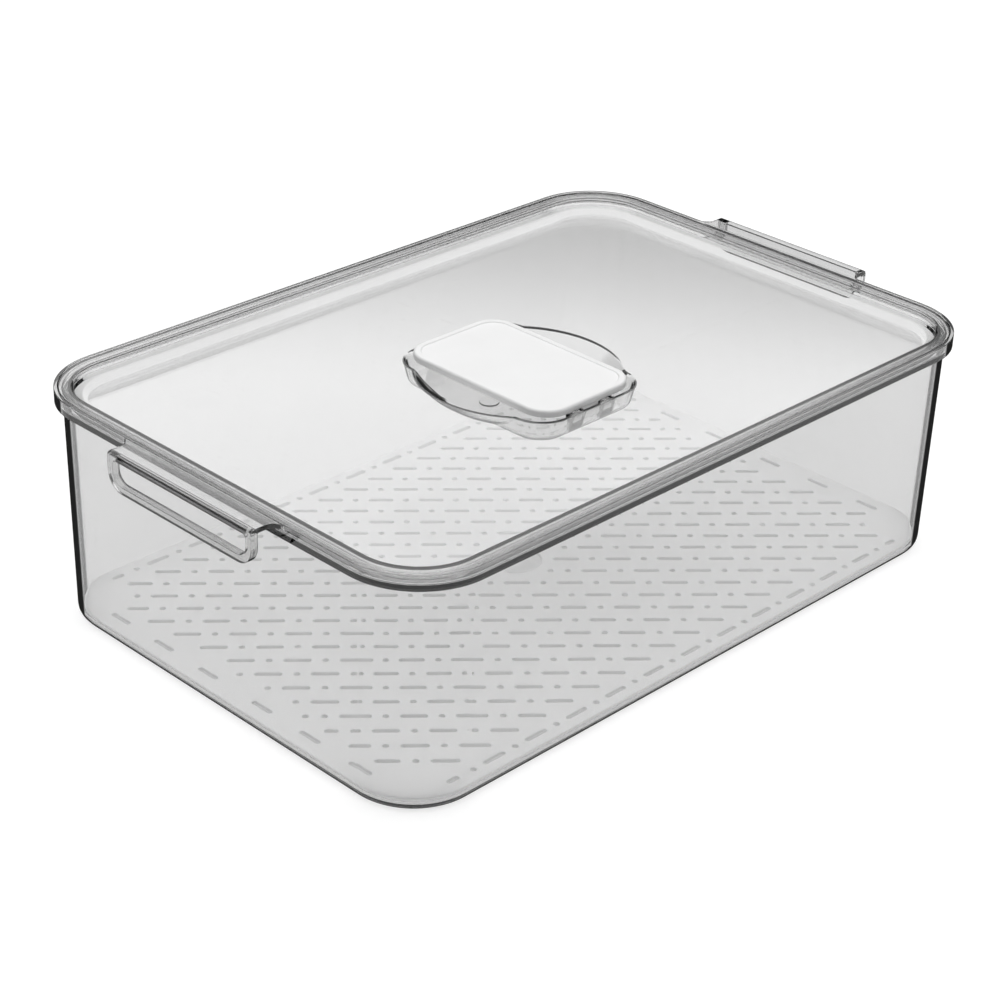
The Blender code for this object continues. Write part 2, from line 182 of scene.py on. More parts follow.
# Camera
CAMERA_AZIMUTH = math.radians(-45.849)
CAMERA_ELEVATION = math.radians(28.439)
CAMERA_ROLL = math.radians(1.802)
CAMERA_DISTANCE = 1.1747
CAMERA_SLIDE = (-5.835 * MM, 33.257 * MM)
CAMERA_LENS = 87.2
CAMERA_SENSOR = 36.0

# Light: full strength within LIGHT_FULL of its direction, dark beyond LIGHT_END
LIGHT_AZIMUTH = math.radians(-41.0)
LIGHT_ELEVATION = math.radians(80.0)
LIGHT_FULL = math.radians(54.0)
LIGHT_END = math.radians(58.5)
LIGHT_STRENGTH = 1.6
STUDIO_DARK = 0.03
STAGE_HALF = 6.0
STAGE_DROP = 0.05 * MM
STAGE_GLOW = 0.66

# Clear plastic: how much light it passes, and the slant over which its edges are painted dark, a painted
# shade standing in for the dark surroundings they would reflect
PLASTIC_IOR = 1.53
PLASTIC_DENSITY = 120.0
# Near-black colour painted on edges seen slantwise, as painted shade
PAINTED_EDGE_SHADE = 0.02
BIN_CLARITY = 0.90
BIN_PAINTED_SHADE_SLANT = (0.61, 0.68)
LID_CLARITY = 0.96
LID_PAINTED_SHADE_SLANT = (0.66, 0.80)

# A plane with more of a piece's skin than this, in square metres, is one of its broad faces
BROAD_AREA = 0.01


def add_camera():
    """Camera aimed along its azimuth and elevation, slid in its own picture plane."""
    azimuth, elevation = CAMERA_AZIMUTH, CAMERA_ELEVATION
    back = Vector(
        (
            math.sin(azimuth) * math.cos(elevation),
            -math.cos(azimuth) * math.cos(elevation),
            math.sin(elevation),
        )
    )
    level = Vector((math.cos(azimuth), math.sin(azimuth), 0.0))
    upward = back.cross(level)
    right = level * math.cos(CAMERA_ROLL) + upward * math.sin(CAMERA_ROLL)
    top = upward * math.cos(CAMERA_ROLL) - level * math.sin(CAMERA_ROLL)
    place = back * CAMERA_DISTANCE + right * CAMERA_SLIDE[0] + top * CAMERA_SLIDE[1]
    data = bpy.data.cameras.new("camera")
    data.lens = CAMERA_LENS
    data.sensor_width = CAMERA_SENSOR
    camera = bpy.data.objects.new("camera", data)
    camera.matrix_world = Matrix.Translation(place) @ Matrix((right, top, back)).transposed().to_4x4()
    bpy.context.scene.collection.objects.link(camera)
    bpy.context.scene.camera = camera


def rounded_rectangle(half_x, half_y, radius, steps=CORNER_STEPS):
    """Outline points, anticlockwise from where the +X side meets its upper corner."""
    points = []
    for index, (side_x, side_y) in enumerate(((1, 1), (-1, 1), (-1, -1), (1, -1))):
        centre_x = side_x * (half_x - radius)
        centre_y = side_y * (half_y - radius)
        for step in range(steps + 1):
            angle = 0.5 * math.pi * (index + step / steps)
            points.append((centre_x + radius * math.cos(angle), centre_y + radius * math.sin(angle)))
    return points


def arc(centre, radius, begin, end, steps):
    """Points on an arc, with its angles in degrees."""
    points = []
    for angle in np.radians(np.linspace(begin, end, steps + 1)):
        points.append((centre[0] + radius * math.cos(angle), centre[1] + radius * math.sin(angle)))
    return points


def circle(centre, radius, count):
    return arc(centre, radius, 0.0, 360.0 - 360.0 / count, count - 1)


def rounded_path(corners):
    """Points along a flat path whose inner corners, given as (u, v, radius), are rounded."""
    points = [corners[0][:2]]
    for before, corner, after in zip(corners, corners[1:], corners[2:]):
        here = Vector(corner[:2])
        back = (Vector(before[:2]) - here).normalized()
        ahead = (Vector(after[:2]) - here).normalized()
        half = 0.5 * back.angle(ahead)
        run = corner[2] / math.tan(half)
        centre = here + (back + ahead).normalized() * corner[2] / math.sin(half)
        start = here + back * run - centre
        end = here + ahead * run - centre
        turn = math.atan2(start.x * end.y - start.y * end.x, start.dot(end))
        steps = max(2, math.ceil(abs(turn) / TURN_STEP))
        for step in range(steps + 1):
            spoke = Matrix.Rotation(turn * step / steps, 2) @ start
            points.append(tuple(centre + spoke))
    points.append(corners[-1][:2])
    return points


def add_loop(bm, outline, z):
    """Vertices along an outline at a height."""
    return [bm.verts.new((x, y, z)) for x, y in outline]


def bridge(bm, loops):
    """Bands of quads between loops of equal length, each joined to the next."""
    for lower, upper in zip(loops, loops[1:]):
        count = len(lower)
        for index in range(count):
            after = (index + 1) % count
            bm.faces.new((lower[index], lower[after], upper[after], upper[index]))


def enclosed(centres, outlines):
    """For each centre, whether an odd number of outlines surrounds it."""
    odd = np.zeros(len(centres), bool)
    for outline in outlines:
        near = np.where(((centres > outline.min(0)) & (centres < outline.max(0))).all(1))[0]
        x = centres[near, 0, None]
        y = centres[near, 1, None]
        x1, y1 = outline.T
        x2, y2 = np.roll(outline, -1, axis=0).T
        rise = np.where(y2 == y1, 1.0, y2 - y1)
        crossed = ((y1 > y) != (y2 > y)) & (x < x1 + (y - y1) * (x2 - x1) / rise)
        odd[near] ^= crossed.sum(1) % 2 == 1
    return odd


def fill(bm, loops, outlines, rows=()):
    """Triangles over a flat region: the first outline is its edge, the others are holes.

    loops holds the vertices that stand for the outlines' points; rows are further pairs of
    indices, into the first outline, that triangles may not cross.
    """
    verts = [vert for loop in loops for vert in loop]
    points = [Vector(point) for outline in outlines for point in outline]
    edges = list(rows)
    start = 0
    for outline in outlines:
        count = len(outline)
        edges += [(start + index, start + (index + 1) % count) for index in range(count)]
        start += count
    _, _, faces, origins, _, _ = delaunay_2d_cdt(points, edges, [], 0, 1e-9)
    triangles = np.array([[origins[index][0] for index in face] for face in faces])
    flat = np.array(points)
    kept = enclosed(flat[triangles].mean(1), [np.array(outline) for outline in outlines])
    for triangle in triangles[kept]:
        bm.faces.new([verts[index] for index in triangle])


def finish_mesh(name, bm):
    """Object from a closed mesh, shaded smooth, with its faces pointing out."""
    bmesh.ops.recalc_face_normals(bm, faces=bm.faces)
    mesh = bpy.data.meshes.new(name)
    bm.to_mesh(mesh)
    bm.free()
    mesh.shade_smooth()
    piece = bpy.data.objects.new(name, mesh)
    bpy.context.scene.collection.objects.link(piece)
    return piece


def join_tools(piece, tools):
    """Boolean union of a piece with its tools, which are then removed."""
    for tool in tools:
        modifier = piece.modifiers.new(tool.name, "BOOLEAN")
        modifier.operation = "UNION"
        modifier.solver = "EXACT"
        modifier.object = tool
    graph = bpy.context.evaluated_depsgraph_get()
    joined = bpy.data.meshes.new_from_object(piece.evaluated_get(graph))
    piece.modifiers.clear()
    piece.data = joined
    for tool in tools:
        bpy.data.objects.remove(tool)


def keep_flats(piece):
    """Weight the normals by area, so that flat faces stay flat beside rounded edges."""
    modifier = piece.modifiers.new("flat_normals", "WEIGHTED_NORMAL")
    modifier.mode = "FACE_AREA_WITH_ANGLE"
    modifier.weight = 90


def mark_broad_faces(piece, shelf=None):
    """Face attribute "broad": 1 on walls, floors and panels, 0 on edges, corners and narrow strips.

    Upward faces at the height of a shelf count as broad too. Broad faces are kept clear of the clear
    plastics' painted edge shade.
    """
    faces = piece.data.polygons
    normals = np.empty(3 * len(faces))
    centres = np.empty(3 * len(faces))
    areas = np.empty(len(faces))
    faces.foreach_get("normal", normals)
    faces.foreach_get("center", centres)
    faces.foreach_get("area", areas)
    normals = normals.reshape(-1, 3)
    offsets = (normals * centres.reshape(-1, 3)).sum(1)
    planes = np.round(np.column_stack((100.0 * normals, offsets / (0.1 * MM))))
    _, plane = np.unique(planes, axis=0, return_inverse=True)
    plane = plane.ravel()
    broad = np.bincount(plane, weights=areas)[plane] > BROAD_AREA
    if shelf is not None:
        broad |= (normals[:, 2] > 0.999) & (np.abs(offsets - shelf) < 0.01 * MM)
    attribute = piece.data.attributes.new("broad", "FLOAT", "FACE")
    attribute.data.foreach_set("value", broad.astype(np.float32))


def bin_outline(inset, z):
    """Outline at a height, some way inboard of a skin that tapers below the rim and is upright above."""
    share = min(1.0, z / RIM_BOTTOM)
    half_x = BASE_HALF_X + OVERHANG + share * (RIM_HALF_X - OVERHANG - BASE_HALF_X)
    half_y = BASE_HALF_Y + OVERHANG + share * (RIM_HALF_Y - OVERHANG - BASE_HALF_Y)
    radius = BASE_RADIUS + OVERHANG + share * (RIM_RADIUS - OVERHANG - BASE_RADIUS)
    return rounded_rectangle(half_x - inset, half_y - inset, radius - inset)


def handle_path():
    """Stations (distance, outer point, under point) along a handle, in X and Z, for the +X end."""
    outer = RIM_HALF_X + HANDLE_REACH
    inner = outer - LIP
    under = HANDLE_TOP - SHELF
    root = RIM_HALF_X - HANDLE_ROOT
    bend_start = inner - LIP_FILLET
    bend_end = under - LIP_FILLET
    outside = [(bend_start, HANDLE_TOP)]
    outside += arc((outer - HANDLE_BEND, HANDLE_TOP - HANDLE_BEND), HANDLE_BEND, 90.0, 0.0, BEND_STEPS)
    outside += [(outer, bend_end)]
    inside = arc((bend_start, bend_end), LIP_FILLET, 90.0, 0.0, len(outside) - 1)
    outside = [(root, HANDLE_TOP)] + outside + [(outer, HANDLE_BOTTOM)]
    inside = [(root, under)] + inside + [(inner, HANDLE_BOTTOM)]
    steps = [math.dist(a, b) for a, b in zip(outside, outside[1:])]
    distances = np.concatenate(([0.0], np.cumsum(steps)))
    return distances, np.array(outside), np.array(inside)


def inward_normals(outline):
    """Unit normals at an outline's points, to the left of the direction of travel."""
    points = np.array(outline)
    before = points - np.roll(points, 1, axis=0)
    after = np.roll(points, -1, axis=0) - points
    before /= np.linalg.norm(before, axis=1)[:, None]
    after /= np.linalg.norm(after, axis=1)[:, None]
    along = before + after
    normals = np.stack((-along[:, 1], along[:, 0]), axis=1)
    return normals / np.linalg.norm(normals, axis=1)[:, None]


def handle_outlines(distances):
    """Edge and window of a handle laid flat: distance along it against Y."""
    length = distances[-1]
    flare_centre = (HANDLE_ROOT + HANDLE_FLARE, -HANDLE_HALF - HANDLE_FLARE)
    flare = arc(flare_centre, HANDLE_FLARE, 180.0, 90.0, FLARE_STEPS)
    bend = [(distance, -HANDLE_HALF) for distance in distances[1:-1]]
    corner_centre = (length - HANDLE_CORNER, HANDLE_CORNER - HANDLE_HALF)
    corner = arc(corner_centre, HANDLE_CORNER, -90.0, 0.0, LIP_CORNER_STEPS)
    lower = [(0.0, -HANDLE_HALF - HANDLE_FLARE)] + flare + bend + corner
    edge = lower + [(u, -v) for u, v in reversed(lower)]
    near = distances[-2] + HANDLE_EDGE + WINDOW_GAP
    far = length - LIP_FRAME
    half = HANDLE_HALF - LIP_FRAME
    top_centre = (near + WINDOW_TOP_CORNER, WINDOW_TOP_CORNER - half)
    window = arc(top_centre, WINDOW_TOP_CORNER, 180.0, 270.0, WINDOW_TOP_STEPS)
    window += arc((far - WINDOW_CORNER, WINDOW_CORNER - half), WINDOW_CORNER, 270.0, 360.0, WINDOW_STEPS)
    window += [(u, -v) for u, v in reversed(window)]
    return [edge, window[::-1]]


def add_handle(side):
    """Shelf that bends down into a lip with a window, all edges rounded."""
    distances, outside, inside = handle_path()
    outlines = handle_outlines(distances)
    normals = [inward_normals(outline) for outline in outlines]

    def place(point, depth, from_outside):
        over = np.array([np.interp(point[0], distances, outside[:, axis]) for axis in (0, 1)])
        under = np.array([np.interp(point[0], distances, inside[:, axis]) for axis in (0, 1)])
        through = (under - over) / np.linalg.norm(under - over)
        x, z = over + depth * through if from_outside else under - depth * through
        return side * x, point[1], z

    bm = bmesh.new()
    angles = np.linspace(0.0, 0.5 * math.pi, EDGE_STEPS + 1)
    turns = [(angle, True) for angle in angles] + [(angle, False) for angle in reversed(angles)]
    faces = {True: [], False: []}
    for outline, normal in zip(outlines, normals):
        loops = []
        for angle, from_outside in turns:
            moved = np.array(outline) + normal * HANDLE_EDGE * (1.0 - math.sin(angle))
            depth = HANDLE_EDGE * (1.0 - math.cos(angle))
            loops.append([bm.verts.new(place(point, depth, from_outside)) for point in moved])
        bridge(bm, loops)
        flat = np.array(outline) + normal * HANDLE_EDGE
        faces[True].append((loops[0], flat))
        faces[False].append((loops[-1], flat))
    count = len(outlines[0])
    rows = []
    for index, (distance, _) in enumerate(outlines[0][: count // 2]):
        if any(abs(distance - station) < 1e-9 for station in distances[1:-1]):
            rows.append((index, count - 1 - index))
    for parts in faces.values():
        fill(bm, [part[0] for part in parts], [part[1] for part in parts], rows)
    return finish_mesh("handle", bm)


def build_bin():
    """Tub: one skin through the corners (inset, height, radius) of its section, plus the handles."""
    bm = bmesh.new()
    corners = [
        (12.0 * MM, 0.0),
        (OVERHANG, 0.0, BASE_FILLET),
        (OVERHANG, RIM_BOTTOM, 0.3 * MM),
        (0.0, RIM_BOTTOM, 0.2 * MM),
        (0.0, HEIGHT, 0.4 * MM),
        (RIM_WALL, HEIGHT, 0.3 * MM),
        (RIM_WALL, LEDGE_TOP, 0.4 * MM),
        (RIM_WALL + LEDGE_WIDTH, LEDGE_TOP, 0.3 * MM),
        (OVERHANG + WALL, LEDGE_TOP - LEAD_IN, 1.0 * MM),
        (OVERHANG + WALL, FLOOR, FLOOR_FILLET),
        (14.0 * MM, FLOOR),
    ]
    loops = [add_loop(bm, bin_outline(inset, z), z) for inset, z in rounded_path(corners)]
    bridge(bm, loops)
    bm.faces.new(loops[0])
    bm.faces.new(loops[-1])
    piece = finish_mesh("bin_shell", bm)
    join_tools(piece, [add_handle(1), add_handle(-1)])
    mark_broad_faces(piece, HANDLE_TOP)
    keep_flats(piece)
    return piece


def well_outline(half, radius, reach):
    """Rounded bar joined with a circle that reaches past its sides, always with as many points."""
    half_x, half_y = half
    crease_y = math.sqrt(reach**2 - half_x**2)
    crease = math.degrees(math.atan2(crease_y, half_x))
    quarter = arc((0.0, 0.0), reach, 0.0, crease, BOWL_STEPS)
    side_end = half_y - radius
    quarter += [(half_x, y) for y in np.linspace(crease_y, side_end, WELL_SIDE_STEPS + 1)[1:-1]]
    quarter += arc((half_x - radius, side_end), radius, 0.0, 90.0, WELL_CORNER_STEPS)
    quarter += [(x, half_y) for x in np.linspace(half_x - radius, 0.0, WELL_END_STEPS + 1)[1:]]
    upper = quarter + [(-x, y) for x, y in reversed(quarter[:-1])]
    return upper + [(x, -y) for x, y in reversed(upper[1:-1])]


def offset_corners(corners, distance):
    """Corners of a path moved sideways to its left, with their radii changed to suit."""
    moved = []
    points = [Vector(corner[:2]) for corner in corners]
    ways = [(b - a).normalized() for a, b in zip(points, points[1:])]
    ways = [ways[0]] + ways + [ways[-1]]
    for point, corner, before, after in zip(points, corners, ways, ways[1:]):
        left = Vector((-before.y - after.y, before.x + after.x)).normalized()
        reach = distance / left.dot(Vector((-before.y, before.x)))
        turn = before.x * after.y - before.y * after.x
        radius = corner[2] + (distance if turn < 0.0 else -distance)
        moved.append((*(point + left * reach), max(radius, LEAST_FILLET)))
    return moved


def well_sections(offset):
    """Sections (run, height) of the well's straight wall and of its bowl, offset into the plastic."""
    wide = 12.0 * MM
    depth = PANEL - WELL_DEPTH
    run = MOUTH_HALF[0] - WELL_HALF[0]
    wall = [
        (-wide, PANEL, 0.0),
        (0.0, PANEL, MOUTH_EDGE),
        (run, depth, WELL_FILLET),
        (run + wide, depth, 0.0),
    ]
    run = MOUTH_CIRCLE - WELL_CIRCLE
    bowl = [
        (-wide, PANEL, 0.0),
        (0.0, PANEL, MOUTH_EDGE),
        (0.42 * run, PANEL - 0.52 * WELL_DEPTH, BOWL_CURVE),
        (run, depth, BOWL_FILLET),
        (run + wide, depth, 0.0),
    ]
    sections = []
    for corners in (wall, bowl):
        path = np.array(rounded_path(offset_corners(corners, -offset)))
        sections.append(path[1:-1])
    return sections


def well_loops(bm, offset):
    """Loops of the well from its mouth down to its floor."""
    wall, bowl = well_sections(offset)
    heights = np.unique(np.round(np.concatenate((wall[:, 1], bowl[:, 1])), 6))[::-1]
    slope_y = (MOUTH_HALF[1] - WELL_HALF[1]) / (MOUTH_HALF[0] - WELL_HALF[0])
    slope_radius = (MOUTH_RADIUS - WELL_RADIUS) / (MOUTH_HALF[0] - WELL_HALF[0])
    loops = []
    for z in heights:
        wall_run = np.interp(-z, -wall[:, 1], wall[:, 0])
        bowl_run = np.interp(-z, -bowl[:, 1], bowl[:, 0])
        half = (MOUTH_HALF[0] - wall_run, MOUTH_HALF[1] - slope_y * wall_run)
        outline = well_outline(half, MOUTH_RADIUS - slope_radius * wall_run, MOUTH_CIRCLE - bowl_run)
        loops.append((add_loop(bm, outline, z), outline))
    bridge(bm, [loop for loop, _ in loops])
    return loops


def lid_corners():
    """Section (inset, height, radius) of the lid's rim, from the panel over the top to the underside."""
    back_radius = PANEL_FILLET + LID_WALL
    wall_inset = PANEL_INSET - PANEL_FILLET
    flat_inset = PANEL_INSET + 4.0 * MM
    return [
        (flat_inset, PANEL),
        (wall_inset, PANEL, PANEL_FILLET),
        (LID_RIM_INNER, HEIGHT, 0.4 * MM),
        (LID_INSET, HEIGHT, 0.3 * MM),
        (LID_INSET, LEDGE_TOP + CLEAR, 0.5 * MM),
        (LID_INSET + LID_WALL, LEDGE_TOP + CLEAR, 0.5 * MM),
        (LID_INSET + LID_WALL, HEIGHT - LID_TOP, 0.5 * MM),
        (wall_inset - LID_WALL, HEIGHT - LID_TOP, 0.5 * MM),
        (wall_inset - LID_WALL, PANEL - LID_WALL, back_radius - 0.5 * MM),
        (flat_inset, PANEL - LID_WALL),
    ]


def add_guide(start, side):
    """Upright block on the well's end wall that holds the grip plate up."""
    floor = PANEL - WELL_DEPTH
    top = PLATE_UNDER - CLEAR
    low = floor - 0.5 * LID_WALL
    slope = (MOUTH_HALF[1] - WELL_HALF[1]) / WELL_DEPTH
    back = WELL_HALF[1] + 0.5 * LID_WALL
    profile = [(GUIDE_FACE, low), (back, low), (back + slope * (top - low), top), (GUIDE_FACE, top)]
    bm = bmesh.new()
    loops = []
    for x in (start, start + GUIDE_WIDTH):
        loops.append([bm.verts.new((x, side * y, z)) for y, z in profile])
    bridge(bm, loops)
    bm.faces.new(loops[0])
    bm.faces.new(loops[1])
    bmesh.ops.bevel(
        bm, geom=bm.edges[:], offset=GUIDE_EDGE, segments=2, profile=0.5, affect="EDGES"
    )
    return finish_mesh("guide", bm)


def add_gate_pad():
    """Low round moulding pad on the well's floor."""
    floor = PANEL - WELL_DEPTH
    bm = bmesh.new()
    top = floor + GATE_HEIGHT
    rings = [(GATE_RADIUS, floor - 0.5 * LID_WALL), (GATE_RADIUS, top - GATE_EDGE)]
    rings += [(GATE_RADIUS - 0.3 * GATE_EDGE, top - 0.3 * GATE_EDGE), (GATE_RADIUS - GATE_EDGE, top)]
    loops = [add_loop(bm, circle(GATE_CENTRE, radius, GATE_POINTS), z) for radius, z in rings]
    bridge(bm, loops)
    bm.faces.new(loops[0])
    bm.faces.new(loops[-1])
    return finish_mesh("gate", bm)


def build_lid():
    """Lid: its rim's section, a flat panel and the well, on both faces, with guides and gate pad."""
    bm = bmesh.new()
    path = rounded_path(lid_corners())
    outlines = []
    loops = []
    for inset, z in path:
        outline = rounded_rectangle(RIM_HALF_X - inset, RIM_HALF_Y - inset, RIM_RADIUS - inset)
        outlines.append(outline)
        loops.append(add_loop(bm, outline, z))
    bridge(bm, loops)
    for offset, index in ((0.0, 0), (LID_WALL, -1)):
        well = well_loops(bm, offset)
        fill(bm, [loops[index], well[0][0]], [outlines[index], well[0][1]])
        bm.faces.new(well[-1][0])
    piece = finish_mesh("lid_shell", bm)
    tools = [add_gate_pad()]
    for side in (1, -1):
        for start in (LEG_HALF + GUIDE_GAP, -LEG_HALF - GUIDE_GAP - GUIDE_WIDTH):
            tools.append(add_guide(start, side))
    join_tools(piece, tools)
    mark_broad_faces(piece)
    keep_flats(piece)
    return piece


def add_leg(side):
    """Snap leg under one end of the plate, with a sloped toe."""
    profile = [
        (LEG_FACE - LEG_THICK, LEG_BOTTOM),
        (LEG_FACE - 0.4 * LEG_THICK, LEG_BOTTOM),
        (LEG_FACE, LEG_BOTTOM + 0.8 * LEG_THICK),
        (LEG_FACE, PLATE_UNDER + LEG_OVERLAP),
        (LEG_FACE - LEG_THICK, PLATE_UNDER + LEG_OVERLAP),
    ]
    bm = bmesh.new()
    loops = [[bm.verts.new((x, side * y, z)) for y, z in profile] for x in (-LEG_HALF, LEG_HALF)]
    bridge(bm, loops)
    bm.faces.new(loops[0])
    bm.faces.new(loops[1])
    bmesh.ops.bevel(bm, geom=bm.edges[:], offset=LEG_EDGE, segments=2, profile=0.5, affect="EDGES")
    return finish_mesh("leg", bm)


def build_plate():
    """Grip plate: rounded rectangle with a soft edge and a shallow dish inside its border."""
    dish = PLATE_TOP - PLATE_DISH
    corners = [
        (PLATE_BORDER, PLATE_UNDER),
        (0.0, PLATE_UNDER, 0.6 * MM),
        (0.0, PLATE_TOP, 1.4 * MM),
        (PLATE_BORDER, PLATE_TOP, 0.4 * MM),
        (PLATE_BORDER + PLATE_DISH, dish, 0.4 * MM),
        (PLATE_BORDER + 2.0 * MM, dish),
    ]
    bm = bmesh.new()
    loops = []
    for inset, z in rounded_path(corners):
        outline = rounded_rectangle(PLATE_HALF[0] - inset, PLATE_HALF[1] - inset, PLATE_RADIUS - inset)
        loops.append(add_loop(bm, outline, z))
    bridge(bm, loops)
    bm.faces.new(loops[0])
    bm.faces.new(loops[-1])
    piece = finish_mesh("grip", bm)
    join_tools(piece, [add_leg(1), add_leg(-1)])
    keep_flats(piece)
    return piece


def slot_outline(start, end, width):
    """Slot with round ends around the line from start to end."""
    angle = math.degrees(math.atan2(end[1] - start[1], end[0] - start[0]))
    far_end = arc(end, 0.5 * width, angle - 90.0, angle + 90.0, SLOT_END_STEPS)
    near_end = arc(start, 0.5 * width, angle + 90.0, angle + 270.0, SLOT_END_STEPS)
    return far_end + near_end


def in_field(points):
    """Whether points lie in the tray's rounded field and off the border of its finger hole."""
    beyond = np.abs(points) - np.array(FIELD_HALF) + FIELD_RADIUS
    outside = np.linalg.norm(np.maximum(beyond, 0.0), axis=1) > FIELD_RADIUS
    return ~outside & (np.linalg.norm(points, axis=1) > FIELD_HOLE)


def field_marks():
    """Slots as (start, end) and dots as centres, in slanting rows that stop at the field's border."""
    along = np.array((math.cos(SLOT_ANGLE), math.sin(SLOT_ANGLE)))
    across = np.array((-along[1], along[0]))
    reach = 0.5 * (SLOT_LENGTH - SLOT_WIDTH)
    rows = math.ceil(math.hypot(*TRAY_HALF) / ROW_PITCH)
    columns = math.ceil(math.hypot(*TRAY_HALF) / SLOT_PITCH)
    slots = []
    dots = []
    for row in range(-rows, rows + 1):
        for column in range(-columns, columns + 1):
            centre = (column + 0.5 * (row % 2)) * SLOT_PITCH * along + row * ROW_PITCH * across
            samples = centre + np.linspace(-reach, reach, SLOT_SAMPLES)[:, None] * along
            inside = samples[in_field(samples)]
            if len(inside):
                length = np.linalg.norm(inside[-1] - inside[0])
                if length > SHORTEST_SLOT:
                    slots.append((inside[0], inside[-1]))
                else:
                    dots.append(inside.mean(0))
            between = centre + 0.5 * SLOT_PITCH * along
            if in_field(between[None])[0]:
                dots.append(between)
    return slots, dots


def border_marks():
    """Slots and dots that follow the tray's four sides."""
    slots = []
    dots = []
    reach = 0.5 * (SLOT_LENGTH - SLOT_WIDTH)
    short = 0.5 * (END_SLOT_LENGTH - SLOT_WIDTH)
    last = LONG_SIDE_SLOTS // 2
    for side in (1, -1):
        y = side * LONG_SIDE_LINE
        for step in range(-last, last + 1):
            x = step * SLOT_PITCH
            slots.append(((x - reach, y), (x + reach, y)))
        for step in range(-last - 1, last + 1):
            dots.append(((step + 0.5) * SLOT_PITCH, y))
        for end in (1, -1):
            x = end * LONG_SIDE_END
            slots.append(((x - short, y), (x + short, y)))
        x = side * SHORT_SIDE_LINE
        for step in range(SHORT_SIDE_SLOTS // 2):
            for end in (1, -1):
                y = end * (SHORT_SIDE_FIRST + step * SHORT_SIDE_PITCH)
                slots.append(((x, y - reach), (x, y + reach)))
    return slots, dots


def tray_holes(grow):
    """Outlines of all the tray's holes, each wider by a margin all round."""
    field_slots, field_dots = field_marks()
    border_slots, border_dots = border_marks()
    outlines = [circle((0.0, 0.0), FINGER_HOLE + grow, HOLE_POINTS)]
    for start, end in field_slots + border_slots:
        outlines.append(slot_outline(start, end, SLOT_WIDTH + 2.0 * grow))
    for centre in field_dots + border_dots:
        outlines.append(circle(centre, 0.5 * DOT_WIDTH + grow, DOT_POINTS))
    return outlines


def build_tray():
    """Drain tray: a plate with rounded edge and holes, on a skirt that stands it off the floor."""
    bm = bmesh.new()
    inner = SKIRT_INSET + SKIRT_WALL
    corners = [
        (TRAY_EDGE + 0.2 * MM, TRAY_TOP),
        (0.0, TRAY_TOP, TRAY_EDGE),
        (0.0, TRAY_UNDER, TRAY_EDGE),
        (SKIRT_INSET, TRAY_UNDER, 0.3 * MM),
        (SKIRT_INSET, SKIRT_BOTTOM, 0.5 * MM),
        (inner, SKIRT_BOTTOM, 0.5 * MM),
        (inner, TRAY_UNDER, 0.3 * MM),
        (inner + 0.8 * MM, TRAY_UNDER),
    ]
    edges = []
    for inset, z in rounded_path(corners):
        outline = rounded_rectangle(TRAY_HALF[0] - inset, TRAY_HALF[1] - inset, TRAY_RADIUS - inset)
        edges.append((add_loop(bm, outline, z), outline))
    bridge(bm, [loop for loop, _ in edges])
    rims = [(SLOT_EDGE, TRAY_TOP), (0.3 * SLOT_EDGE, TRAY_TOP - 0.3 * SLOT_EDGE)]
    rims += [(0.0, TRAY_TOP - SLOT_EDGE), (0.0, TRAY_UNDER)]
    levels = [(tray_holes(grow), z) for grow, z in rims]
    sides = [[add_loop(bm, outline, z) for outline in outlines] for outlines, z in levels]
    for loops in zip(*sides):
        bridge(bm, loops)
    fill(bm, [edges[0][0]] + sides[0], [edges[0][1]] + levels[0][0])
    fill(bm, [edges[-1][0]] + sides[-1], [edges[-1][1]] + levels[-1][0])
    piece = finish_mesh("tray", bm)
    keep_flats(piece)
    return piece


def grey(value):
    return (value, value, value, 1.0)


class Surface:
    """Material with a Principled shader, and the nodes that feed it."""

    def __init__(self, name):
        self.material = bpy.data.materials.new(name)
        self.material.use_nodes = True
        self.tree = self.material.node_tree
        self.shader = self.tree.nodes["Principled BSDF"]
        self.coordinates = self.tree.nodes.new("ShaderNodeTexCoord")

    def set(self, socket, value):
        self.shader.inputs[socket].default_value = value

    def feed(self, source, socket):
        self.tree.links.new(source, self.shader.inputs[socket])

    def noise(self, scale, detail):
        node = self.tree.nodes.new("ShaderNodeTexNoise")
        node.inputs["Scale"].default_value = scale
        node.inputs["Detail"].default_value = detail
        self.tree.links.new(self.coordinates.outputs["Object"], node.inputs["Vector"])
        return node.outputs["Fac"]

    def remap(self, source, before, after, curve="LINEAR"):
        """Source moved from one (low, high) range to another, held at its ends."""
        node = self.tree.nodes.new("ShaderNodeMapRange")
        node.interpolation_type = curve
        node.inputs["From Min"].default_value = before[0]
        node.inputs["From Max"].default_value = before[1]
        node.inputs["To Min"].default_value = after[0]
        node.inputs["To Max"].default_value = after[1]
        self.tree.links.new(source, node.inputs["Value"])
        return node.outputs["Result"]

    def spread(self, source, low, high):
        """Noise, which mostly stays within 0.3 to 0.7, spread over a wider range."""
        return self.remap(source, (0.3, 0.7), (low, high))

    def mottle(self, scale, detail, dark, light):
        """Grey that drifts between two tones in soft patches."""
        node = self.tree.nodes.new("ShaderNodeMix")
        node.data_type = "RGBA"
        node.inputs["A"].default_value = grey(dark)
        node.inputs["B"].default_value = grey(light)
        patches = self.spread(self.noise(scale, detail), 0.0, 1.0)
        self.tree.links.new(patches, node.inputs["Factor"])
        return node.outputs["Result"]

    def bump(self, source, strength, distance):
        node = self.tree.nodes.new("ShaderNodeBump")
        node.inputs["Strength"].default_value = strength
        node.inputs["Distance"].default_value = distance
        self.tree.links.new(source, node.inputs["Height"])
        self.feed(node.outputs["Normal"], "Normal")


